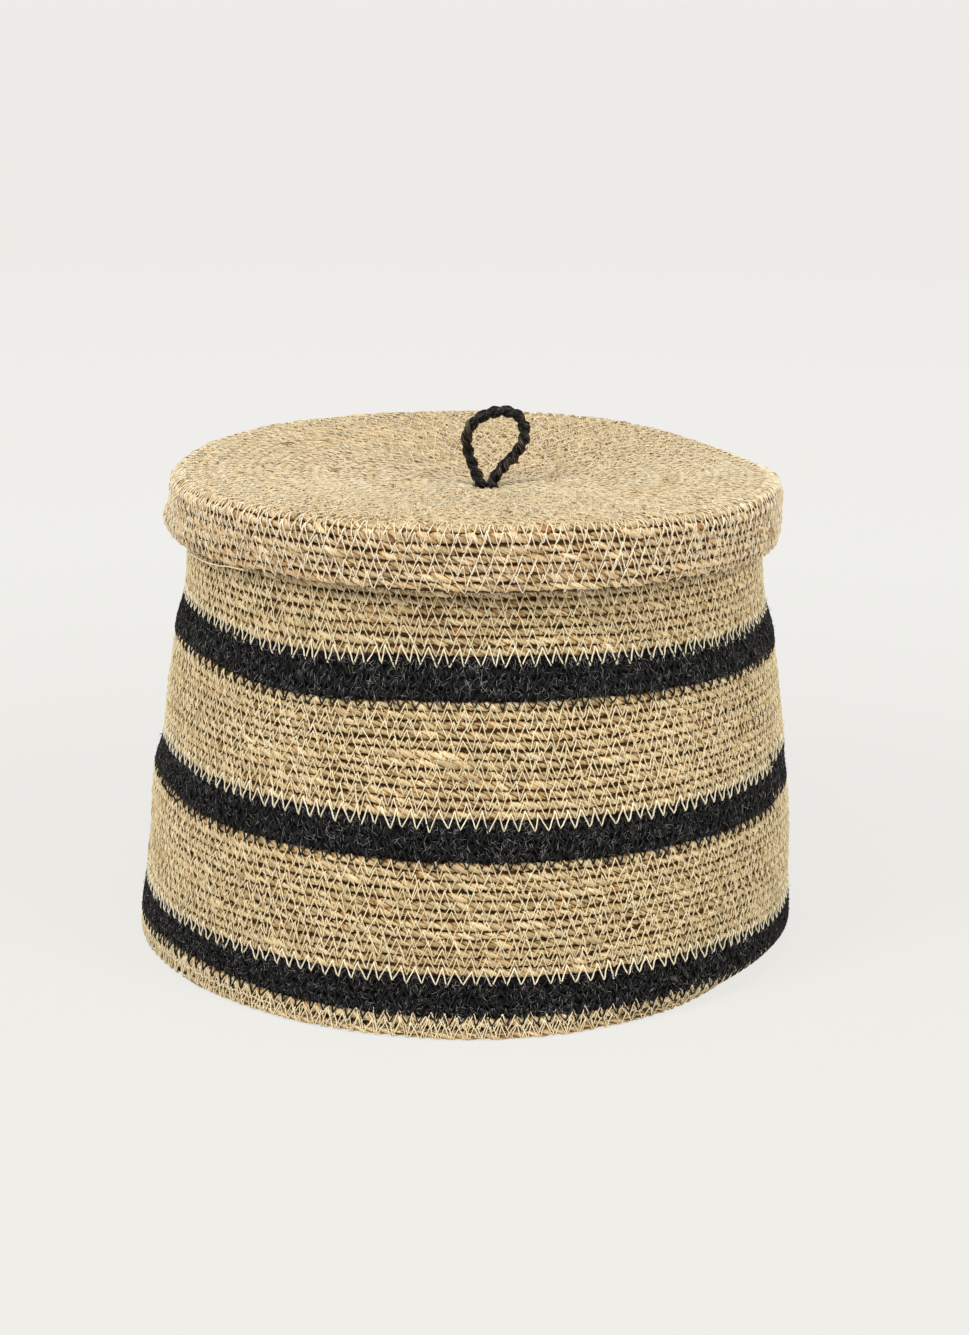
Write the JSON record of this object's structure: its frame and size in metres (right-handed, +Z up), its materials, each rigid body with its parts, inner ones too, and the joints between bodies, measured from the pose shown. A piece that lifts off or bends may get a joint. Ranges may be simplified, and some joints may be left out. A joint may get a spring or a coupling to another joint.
{
  "type": "lidded basket",
  "caption": "Round coiled seagrass basket with dark bands, flared towards the foot, with a pull-off lid and a cord loop handle.",
  "frame": {"origin": "middle of the flat underside of the base, on the basket's axis", "axes": "+Z up along the basket's axis, towards the lid; +X towards the side where the lengths of braid are joined; the handle loop stands in the XZ plane"},
  "size_m": [0.33, 0.33, 0.2738],
  "materials": {
    "natural_braid": "twisted dry seagrass, straw coloured, zigzag sewn with cream thread",
    "black_braid": "twisted seagrass dyed charcoal black, matt and slightly fuzzy",
    "handle_cord": "black twisted cord with a soft satin shine"
  },
  "bodies": {
    "basket": {"base_disc": "natural_braid", "foot_band": "natural_braid", "black_band_lower": "black_braid", "natural_band_lower": "natural_braid", "black_band_middle": "black_braid", "natural_band_upper": "natural_braid", "black_band_upper": "black_braid", "neck_band": "natural_braid"},
    "lid": {"lid_top": "natural_braid", "lid_skirt": "natural_braid", "handle_knot": "handle_cord"},
    "handle": {"handle_loop": "handle_cord"}
  },
  "joints": [
    {"name": "lid_lift", "type": "slide", "parent": "basket", "child": "lid", "axis": [0, 0, 1], "range_m": [0, 0.12]},
    {"name": "handle_fold", "type": "hinge", "parent": "lid", "child": "handle", "pos_m": [0, 0, 0.23174], "axis": [1, 0, 0], "range_deg": [-75, 75], "stiffness_Nm_per_rad": 0.004}
  ]
}
